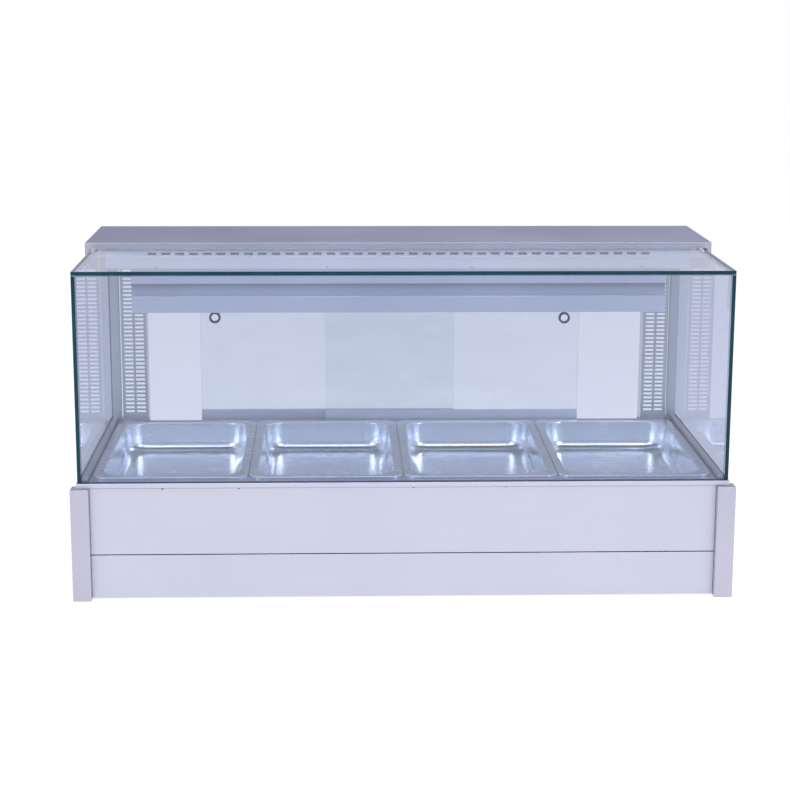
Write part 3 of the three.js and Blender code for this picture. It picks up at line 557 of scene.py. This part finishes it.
def turned(profile, centre, axis, steps=48, flutes=0, flute_depth=0.0, fluted=()):
    """A turned solid: profile holds (radius, distance along the axis) from pole to pole."""
    along = Vector({"X": (1, 0, 0), "Y": (0, 1, 0), "Z": (0, 0, 1)}[axis])
    side = Vector({"X": (0, 1, 0), "Y": (0, 0, 1), "Z": (1, 0, 0)}[axis])
    other = along.cross(side)
    rings = []
    for level, (radius, distance) in enumerate(profile):
        ring = []
        for step in range(steps):
            angle = TURN * step / steps
            reach = radius
            if level in fluted:
                reach -= flute_depth * (0.5 + 0.5 * math.cos(flutes * angle))
            ring.append(
                Vector(centre) + along * distance
                + side * reach * math.cos(angle) + other * reach * math.sin(angle)
            )
        rings.append(ring)
    return loft(rings)


def arc(centre, radius, start, end, steps):
    """Points on an arc in the profile plane, angles in degrees."""
    points = []
    for step in range(steps + 1):
        angle = math.radians(start + (end - start) * step / steps)
        points.append((
            centre[0] + radius * math.cos(angle),
            centre[1] + radius * math.sin(angle),
        ))
    return points


def middle(node):
    """The centre of a node's box."""
    low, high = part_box(node)
    return (low + high) / 2


# ------------------------------------------------------------------ sheet metal and frame
def build_canopy():
    """The canopy cover: a front lip painted greyer and lighter than the top, as light falls on it, and
    an underside painted dark as shade.
    """
    piece = soft_piece("canopy_cover", CANOPY, CASE, 0.0006, 3)
    above_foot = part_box("canopy_cover")[0].z + 0.003
    piece.data.materials.append(LIP_PAINTED_LIGHT)
    piece.data.materials.append(UNDERSIDE_PAINTED_SHADE)
    # Front faces get the lip's painted light; downward faces under the cover get painted shade.
    for face in piece.data.polygons:
        if face.normal.y < -FACING:
            face.material_index = 1
        elif face.normal.z < -FACING and face.center.z > above_foot:
            face.material_index = 2


def build_lamp_housing():
    """The housing: its top painted darker as shade under the fascia band, and its recess a duller,
    shaded copy of the steel with painted shade darkest under the upper face.
    """
    low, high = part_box("lamp_housing")
    # Painted shade: the top of the housing darkens as if shaded by the fascia band above it.
    housing_steel_painted_shade = steel(
        "housing_steel_painted_shade", (0.90, 0.93, 0.945), (0.95, 0.975, 0.985), "X", 0.32, 0.04, 0.04,
        painted_shade=(high.z - 0.021, high.z - 0.011, (0.68, 0.71, 0.75)),
    )
    piece = soft_piece("lamp_housing", housing_steel_painted_shade, CASE, 0.0006)
    recess_depth = 0.010
    recess = [
        face for face in piece.data.polygons
        if abs(face.center.y - low.y - recess_depth) < 0.001 and face.normal.y < -FACING
    ]
    recess_top = max(piece.data.vertices[i].co.z for face in recess for i in face.vertices)
    # The recess is a darker copy of the housing steel, its colour painted shade, with more painted
    # shade just under the upper face.
    piece.data.materials.append(steel(
        "recess_steel_painted_shade", (0.64, 0.68, 0.71), (0.71, 0.745, 0.775), "X", 0.34, 0.04, 0.04,
        painted_shade=(recess_top - 0.020, recess_top, (0.34, 0.37, 0.41)),
    ))
    for face in recess:
        face.material_index = 1


def build_sheet_metal():
    """Base, deck, holders, columns, canopy and tracks: the CAD shapes with rounded folds."""
    fold = 0.0011
    thin = 0.0005
    posts = [f"corner_post_{end}_{side}" for end in ("front", "rear") for side in ("left", "right")]
    for post in posts:
        soft_piece(post, POST, CASE, 0.0018, 3)
    for panel in ("front_panel_upper", "front_panel_lower", "rear_panel"):
        soft_piece(panel, PANEL, CASE, thin)
    for side in ("left", "right"):
        soft_piece(f"side_panel_{side}", SIDE, CASE, thin)
        soft_piece(f"glass_sill_{side}", UPRIGHT, CASE, 0.001)
        soft_piece(f"glass_channel_{side}", UPRIGHT, CASE, thin)
        soft_piece(f"rear_column_{side}", UPRIGHT, CASE, thin)
        soft_piece(f"door_rail_{side}", RAIL, f"{side}_door", 0.0008)
    soft_piece("deck_frame", PANEL, CASE, fold, 3)
    soft_piece("base_plate", FRAME_STEEL, CASE, thin)
    soft_piece("well_tank", FRAME_STEEL, CASE, thin)
    for index in range(1, 4):
        soft_piece(f"pan_support_bar_{index}", PANEL, CASE, 0.001, 3)
    soft_piece("door_track_bottom", FRAME_STEEL, CASE, 0.0004)
    soft_piece("door_track_top", FRAME_STEEL, CASE, 0.0004)
    build_canopy()
    soft_piece("canopy_fascia", BAND, CASE, thin)
    # The duct behind the vent slots is painted near-black as shade.
    soft_piece("vent_duct", UNDERSIDE_PAINTED_SHADE, CASE, thin)
    build_lamp_housing()


def build_electrics():
    """Switch bodies, thermostat body, terminal block and lamp holders with soft moulded edges."""
    for node in ("thermostat_body", "power_switch_body", "lamp_switch_body"):
        soft_piece(node, BLACK, CASE, 0.0008, 3)
    for name in ("power", "lamp"):
        soft_piece(f"{name}_switch_rocker", BLACK, f"{name}_rocker", 0.0006, 3)
    soft_piece("terminal_block", CERAMIC, CASE, 0.001, 3)
    for index in range(1, 5):
        soft_piece(f"lamp_holder_{index}", CERAMIC, CASE, 0.001, 3)


# ------------------------------------------------------------------ glass
def build_glass():
    """Four fixed panes of the box and the two sliding door panes."""
    up = (0, 0, 1)
    rearward = (0, 1, 0)
    ends = ((1, 0, 0), (-1, 0, 0))
    pane("glass_front", FRONT_GLASS, GLASS_EDGE, CASE, "Y", bonded=(up, *ends))
    for side in ("left", "right"):
        pane(f"glass_{side}", GLASS, GLASS_EDGE, CASE, "X", bonded=(up,))
    pane("glass_top", TOP_GLASS, GLASS_EDGE, CASE, "Z", bonded=(rearward,))
    for side in ("left", "right"):
        pane(f"door_glass_{side}", DOOR_GLASS, DOOR_EDGE, f"{side}_door", "Y", 0.0005)


# ------------------------------------------------------------------ pans
RIM_WIDTH = 0.014
RIM_DROP = 0.004
PAN_WALL = 0.001
PAN_TAPER = 0.007
RIM_CORNER = 0.030
PAN_CORNER = 0.058
FLOOR_RADIUS = 0.022
EDGE_RADIUS = 0.004
FLOOR_CROWN = 0.0008
FLAT_EDGE = 0.003
TIGHTEST_CORNER = 0.010
CROWN_CORNER = 0.008
CROWN_REACH = 0.98
BEND_STEPS = 9
CORNER_STEPS = 20


def pan_inside(top, floor):
    """(distance in from the rim's outer edge, height) down the inside of a pan, rim to floor."""
    depth = top - floor
    profile = arc((RIM_WIDTH, top - EDGE_RADIUS), EDGE_RADIUS, 90, 0, BEND_STEPS)
    foot = floor + FLOOR_RADIUS
    foot_in = RIM_WIDTH + EDGE_RADIUS + PAN_TAPER * (top - foot) / depth
    profile += arc((foot_in + FLOOR_RADIUS, foot), FLOOR_RADIUS, 180, 270, 2 * BEND_STEPS)
    return profile


def pan_corner(across):
    """The plan radius of a pan's corner, at a distance in from the rim's outer edge."""
    past_rim = min(1.0, max(0.0, across / RIM_WIDTH))
    corner = RIM_CORNER * (1 - past_rim) + PAN_CORNER * past_rim
    return max(TIGHTEST_CORNER, corner - max(0.0, across - RIM_WIDTH - EDGE_RADIUS))


def build_pan(index):
    """One drawn pan: rolled rim, rounded shoulder, tapering walls and a slightly crowned floor."""
    node = f"food_pan_{index}"
    low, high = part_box(node)
    centre = (low + high) / 2
    half_x = (high.x - low.x) / 2
    half_y = (high.y - low.y) / 2
    inner_floor = low.z + PAN_WALL

    def ring(across, corner, height):
        """The pan's plan outline at a distance in from the rim's outer edge."""
        return ring_of(half_x - across, half_y - across, corner, height, centre, CORNER_STEPS)

    inside = pan_inside(high.z, inner_floor)
    outside = [(across - PAN_WALL, height - PAN_WALL) for across, height in reversed(inside)]
    hem = arc((PAN_WALL, high.z - PAN_WALL), PAN_WALL, 180, 90, 3)
    underside = [(PAN_WALL, high.z - PAN_WALL), (PAN_WALL, high.z - RIM_DROP), (0.0, high.z - RIM_DROP)]
    profile = outside + underside + hem + inside
    rings = [ring(across, pan_corner(across), height) for across, height in profile]
    fillet_end = inside[-1][0]
    flat_in = fillet_end + FLAT_EDGE
    rings.append(ring(flat_in, pan_corner(fillet_end) - FLAT_EDGE, inner_floor))
    for share in (0.25, 0.5, 0.75):
        rise = FLOOR_CROWN * math.sin(share * math.pi / 2)
        across = flat_in + (half_x - flat_in) * share * CROWN_REACH
        rings.append(ring(across, CROWN_CORNER, inner_floor + rise))
    mesh = mesh_from(node + "_drawn", loft(rings))
    place_piece(node + "_drawn", mesh, [PAN], f"pan_{index}", [node])


# ------------------------------------------------------------------ lamps
def tube_along(points, radius, sides=20):
    """A closed round tube that follows points, with flat ends."""
    rings = []
    for i, point in enumerate(points):
        ahead = points[min(i + 1, len(points) - 1)]
        behind = points[max(i - 1, 0)]
        along = (ahead - behind).normalized()
        side = along.cross(Vector((0, 0, 1)))
        side = side.normalized() if side.length > 1e-6 else Vector((0, 1, 0))
        other = along.cross(side)
        rings.append([
            point + radius * (side * math.cos(TURN * s / sides) + other * math.sin(TURN * s / sides))
            for s in range(sides)
        ])
    return loft(rings)


def build_lamp(index):
    """A quartz heat lamp: an envelope with pinched ends round a coiled filament."""
    node = f"heat_lamp_tube_{index}"
    low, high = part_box(node)
    centre = (low + high) / 2
    radius = (high.z - low.z) / 2
    half = (high.x - low.x) / 2
    pinch = 0.012
    pole = 0.0004
    pinched_end = [
        (pole, half), (radius * 0.55, half), (radius * 0.62, half - pinch * 0.7),
        (radius * 0.9, half - pinch), (radius, half - pinch * 1.4),
    ]
    profile = [(reach, -distance) for reach, distance in pinched_end] + pinched_end[::-1]
    mesh = mesh_from(node + "_envelope", turned(profile, centre, "X", 28))
    place_piece(node + "_envelope", mesh, [QUARTZ], CASE, [node])
    build_filament(index, centre, half - pinch * 2, radius * 0.42)


def build_filament(index, centre, coil_half, coil_radius):
    """The coiled filament along the middle of a lamp."""
    wire_radius = 0.0004
    turns = 60
    per_turn = 8
    points = []
    for step in range(turns * per_turn + 1):
        angle = TURN * step / per_turn
        points.append(centre + Vector((
            -coil_half + 2 * coil_half * step / (turns * per_turn),
            coil_radius * math.cos(angle),
            coil_radius * math.sin(angle),
        )))
    filament = mesh_from(f"heat_lamp_filament_{index}", tube_along(points, wire_radius, 5))
    place_piece(f"heat_lamp_filament_{index}", filament, [ELEMENT], CASE)


# ------------------------------------------------------------------ doors' finger rings
def collar(section, centre, steps=48, flutes=0, flute_depth=0.0, fluted=()):
    """A ring about the Y direction whose section is a closed list of (radius, distance) points."""
    shape = bmesh.new()
    rings = []
    for step in range(steps):
        angle = TURN * step / steps
        ring = []
        for level, (radius, distance) in enumerate(section):
            if level in fluted:
                radius -= flute_depth * (0.5 + 0.5 * math.cos(flutes * angle))
            ring.append(shape.verts.new(
                centre + Vector((radius * math.cos(angle), distance, radius * math.sin(angle)))
            ))
        rings.append(ring)
    for i in range(steps):
        here, after = rings[i], rings[(i + 1) % steps]
        for j in range(len(section)):
            k = (j + 1) % len(section)
            shape.faces.new((here[j], here[k], after[k], after[j]))
    return shape


def build_ring(side):
    """A flanged moulded ring that lines the finger hole of a door."""
    node = f"finger_ring_{side}"
    low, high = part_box(node)
    outer = (high.z - low.z) / 2
    half = (high.y - low.y) / 2
    bore = outer * 0.63
    neck = outer * 0.78
    flange = half * 0.30
    roll = flange * 0.6
    section = [
        (bore + roll, -half), (outer - roll, -half), (outer, -half + roll), (outer, -half + flange),
        (neck, -half + flange), (neck, half - flange), (outer, half - flange), (outer, half - roll),
        (outer - roll, half), (bore + roll, half), (bore + roll * 0.3, half - roll * 0.3),
        (bore, half - roll), (bore, -half + roll), (bore + roll * 0.3, -half + roll * 0.3),
    ]
    mesh = mesh_from(node + "_moulding", collar(section, middle(node)))
    place_piece(node + "_moulding", mesh, [RING], f"{side}_door", [node])


# ------------------------------------------------------------------ controls on the rear panel
PANEL_FIT = 0.0003
POLE = 0.0002


def build_gland():
    """A cable gland: locknut, six-lobed flange and domed cap around an open bore."""
    low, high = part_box("cable_gland")
    flange = (high.x - low.x) / 2
    centre = middle("cable_gland")
    half = (high.y - low.y) / 2
    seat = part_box("rear_panel")[1].y - centre.y + PANEL_FIT
    bore = 0.0045
    bore_edge = 0.0008
    shank = flange - 0.003
    flange_top = seat + 0.005
    section = [
        (bore, -half), (shank, -half), (shank, seat), (flange - 0.0004, seat),
        (flange, seat + 0.0006), (flange, seat + 0.0044), (flange - 0.0006, flange_top),
        (shank + 0.0010, flange_top + 0.0002), (shank + 0.0008, seat + 0.0090),
        (shank - 0.0004, half - 0.0022), (shank - 0.0016, half - 0.0005), (bore + bore_edge, half),
        (bore, half - bore_edge),
    ]
    flange_points = (3, 4, 5, 6)
    shape = collar(section, centre, 72, flutes=6, flute_depth=0.0012, fluted=flange_points)
    mesh = mesh_from("cable_gland_cap", shape)
    place_piece("cable_gland_cap", mesh, [BLACK], CASE, ["cable_gland"])


def build_pilot_lamp():
    """A domed red lens in a black bezel."""
    low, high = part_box("pilot_lamp")
    centre = middle("pilot_lamp")
    centre.y = 0
    bezel = (high.x - low.x) / 2
    shank = bezel - 0.0015
    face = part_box("rear_panel")[1].y + PANEL_FIT
    dome_foot = face + 0.0018
    dome = bezel - 0.0011
    dome_steps = 8
    profile = [(POLE, low.y), (shank, low.y), (shank, face), (bezel, face)]
    profile += [(bezel, face + 0.0012), (bezel - 0.0006, dome_foot)]
    for step in range(dome_steps + 1):
        angle = math.pi / 2 * step / dome_steps
        profile.append((
            max(POLE, dome * math.cos(angle)),
            dome_foot + (high.y - dome_foot) * math.sin(angle),
        ))
    mesh = mesh_from("pilot_lamp_lens", turned(profile, centre, "Y", 40))
    piece = place_piece("pilot_lamp_lens", mesh, [LENS, BLACK], CASE, ["pilot_lamp"])
    for polygon in piece.data.polygons:
        polygon.material_index = int(polygon.center.y < dome_foot)


def raised_mark(shape, start, end, width, foot, face):
    """Adds a round-ended bar that stands on a face across Y; start and end are (x, z) points."""
    run = Vector(end) - Vector(start)
    turn = math.atan2(run.y, run.x)
    steps = 6
    bevel = 0.0001
    levels = []
    for y, inset in ((foot, 0.0), (face - bevel, 0.0), (face, bevel)):
        ring = []
        for middle_point, begin in ((end, -90), (start, 90)):
            for step in range(steps + 1):
                angle = turn + math.radians(begin + 180 * step / steps)
                reach = width / 2 - inset
                ring.append(shape.verts.new((
                    middle_point[0] + reach * math.cos(angle), y,
                    middle_point[1] + reach * math.sin(angle),
                )))
        levels.append(ring)
    for lower, upper in zip(levels, levels[1:]):
        for i in range(len(lower)):
            j = (i + 1) % len(lower)
            shape.faces.new((lower[i], lower[j], upper[j], upper[i]))
    shape.faces.new(levels[0])
    shape.faces.new(levels[-1])


def build_knob():
    """A fluted thermostat knob with a socket for its shaft and a white pointer on its face."""
    low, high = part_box("thermostat_knob")
    centre = middle("thermostat_knob")
    knob_x, knob_z = centre.x, centre.z
    skirt = (high.x - low.x) / 2
    skirt_edge = 0.0006
    grip = skirt * 0.76
    foot = low.y
    socket = foot + 0.010
    bore = 0.0033
    face = high.y - 0.0004
    profile = [
        (POLE, socket), (bore, socket), (bore, foot), (skirt - skirt_edge, foot),
        (skirt, foot + skirt_edge), (skirt, foot + 0.0020), (skirt - 0.0012, foot + 0.0030),
        (grip + 0.0014, foot + 0.0040), (grip + 0.0003, foot + 0.0056), (grip, foot + 0.0080),
        (grip - 0.0004, face - 0.0024), (grip - 0.0014, face - 0.0007), (grip - 0.0034, face),
        (POLE, face),
    ]
    grip_points = (8, 9, 10)
    shape = turned(
        profile, (knob_x, 0, knob_z), "Y", 168, flutes=28, flute_depth=0.0009, fluted=grip_points,
    )
    mesh = mesh_from("thermostat_knob_cap", shape)
    place_piece("thermostat_knob_cap", mesh, [BLACK], "knob", ["thermostat_knob"])

    pointer = bmesh.new()
    pointer_width = 0.0018
    start = (knob_x, knob_z + grip * 0.30)
    end = (knob_x, knob_z + grip * 0.74)
    raised_mark(pointer, start, end, pointer_width, face - 0.0002, high.y)
    mesh = mesh_from("thermostat_pointer", pointer)
    place_piece("thermostat_pointer", mesh, [WHITE_MARK], "knob")


def build_scale():
    """The thermostat's ring of marks on the rear panel, over the range that its knob turns."""
    low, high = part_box("thermostat_knob")
    centre = middle("thermostat_knob")
    hub = Vector((centre.x, centre.z))
    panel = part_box("rear_panel")[1].y
    sweep = math.radians(270)
    marks = 10
    mark_width = 0.0010
    inner = (high.x - low.x) / 2 + 0.003
    scale = bmesh.new()
    for mark in range(marks):
        angle = sweep * mark / (marks - 1)
        away = Vector((-math.sin(angle), math.cos(angle)))
        outer = inner + (0.006 if mark == 0 else 0.004)
        raised_mark(
            scale, hub + away * inner, hub + away * outer, mark_width, panel - 0.0001, panel + 0.0002,
        )
    mesh = mesh_from("thermostat_scale", scale)
    place_piece("thermostat_scale", mesh, [BLACK], CASE)


# ------------------------------------------------------------------ screws, sealant, a painted shadow line and elements
def joined_shapes(shapes):
    """One bmesh that holds all the given ones."""
    whole = bmesh.new()
    for shape in shapes:
        part = bpy.data.meshes.new("part")
        shape.to_mesh(part)
        shape.free()
        whole.from_mesh(part)
        bpy.data.meshes.remove(part)
    return whole


def build_screws(name, places, face, outward, radius):
    """Button-head screws with a round socket, at (x, z) places on a face across Y."""
    height = radius * 0.5
    pole = 0.0001
    sunk = -0.0003
    levels = [
        (pole, sunk), (radius, sunk), (radius, height * 0.25), (radius * 0.90, height * 0.65),
        (radius * 0.68, height * 0.93), (radius * 0.46, height), (radius * 0.42, height * 0.92),
        (radius * 0.40, height * 0.35), (pole, height * 0.30),
    ]
    profile = [(reach, face + outward * rise) for reach, rise in levels]
    heads = [turned(profile, (x, 0, z), "Y", 24) for x, z in places]
    mesh = mesh_from(name, joined_shapes(heads))
    place_piece(name, mesh, [SCREW], CASE)


def build_fixings():
    """Screws along the fascia band and round the rear panel."""
    band_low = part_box("canopy_fascia")[0]
    band_slant = 0.0009
    band_rise = 0.0034
    band = [(x, band_low.z + band_rise) for x in (-0.538, -0.160, 0.160, 0.538)]
    build_screws("fascia_screws", band, band_low.y + band_slant, -1, 0.0026)
    low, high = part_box("rear_panel")
    edge = 0.014
    under_flange = 0.032
    columns = (low.x + edge, low.x * 0.5, 0.0, high.x * 0.5, high.x - edge)
    rear = [(x, z) for x in columns for z in (low.z + edge, high.z - under_flange)]
    build_screws("rear_panel_screws", rear, high.y, 1, 0.0038)


def bead(name, start, end, radius):
    """A dark bead along a straight line, whose thickness wavers a little: hand-run sealant on the
    sills, and painted shadow under the deck lip.
    """
    start, end = Vector(start), Vector(end)
    steps = 40
    sides = 10
    rings = []
    along = (end - start).normalized()
    side = along.cross(Vector((0, 0, 1))).normalized()
    other = along.cross(side)
    for i in range(steps + 1):
        point = start.lerp(end, i / steps)
        reach = radius * (1 + 0.10 * math.sin(i * 1.7) + 0.06 * math.sin(i * 3.1 + 1))
        rings.append([
            point + reach * (side * math.cos(TURN * s / sides) + other * math.sin(TURN * s / sides))
            for s in range(sides)
        ])
    place_piece(name, mesh_from(name, loft(rings)), [SEALANT_AND_SHADOW_BEAD], CASE)


def resin_drop(x, z, face, size):
    """A flat dome of resin that has run onto a face across Y."""
    pole = 0.0001
    rise = 0.0008
    dome = arc((0, 0), 1.0, 0, 75, 5)
    profile = [(pole, face + 0.0002)]
    profile += [(size * across, face - rise * up) for across, up in dome]
    profile.append((pole, face - rise))
    return turned(profile, (x, 0, z), "Y", 20)


def build_lip_shadow_and_drops():
    """A dark bead under the deck's front lip that is painted shadow of the lip, and the drops of old
    resin below it.
    """
    panel_low, panel_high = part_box("front_panel_upper")
    lip_y = panel_low.y - 0.0003
    lip_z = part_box("deck_frame")[0].z - 0.0004
    # This bead stands in for the shadow under the lip: painted shadow.
    bead("deck_lip_shadow_bead", (panel_low.x, lip_y, lip_z), (panel_high.x, lip_y, lip_z), 0.0007)
    drop_z = lip_z - 0.0012
    places = ((-0.502, 0.0030), (-0.344, 0.0024), (0.019, 0.0018), (0.212, 0.0016))
    drops = [resin_drop(x, drop_z, panel_low.y, size) for x, size in places]
    mesh = mesh_from("resin_drops", joined_shapes(drops))
    place_piece("resin_drops", mesh, [RESIN], CASE)


def build_sill_seals():
    """Sealant along both glass sills, where they meet the deck and the glass."""
    short = 0.001
    lift = 0.0004
    for side in ("left", "right"):
        low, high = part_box(f"glass_sill_{side}")
        inward = 1 if side == "left" else -1
        inner = high.x if side == "left" else low.x
        outer = low.x if side == "left" else high.x
        for label, x, foot in (("deck", inner + inward * 0.0006, low.z), ("glass", outer, high.z)):
            start = (x, low.y + short, foot + lift)
            end = (x, high.y - short, foot + lift)
            bead(f"sill_seal_{label}_{side}", start, end, 0.0012)


def build_elements():
    """The two heating elements as smooth rods along their CAD bends."""
    for side in ("left", "right"):
        node = f"heating_element_{side}"
        mesh = mesh_from(node + "_rod", own_shape(node))
        place_piece(node + "_rod", mesh, [ELEMENT], CASE, [node])


build_sheet_metal()
build_electrics()
build_glass()
for number in range(1, 5):
    build_pan(number)
for number in range(1, 4):
    build_lamp(number)
for hand in ("left", "right"):
    build_ring(hand)
build_gland()
build_pilot_lamp()
build_knob()
build_scale()
build_fixings()
build_lip_shadow_and_drops()
build_sill_seals()
build_elements()

scene.view_settings.view_transform = "Standard"
scene.cycles.transparent_max_bounces = 32
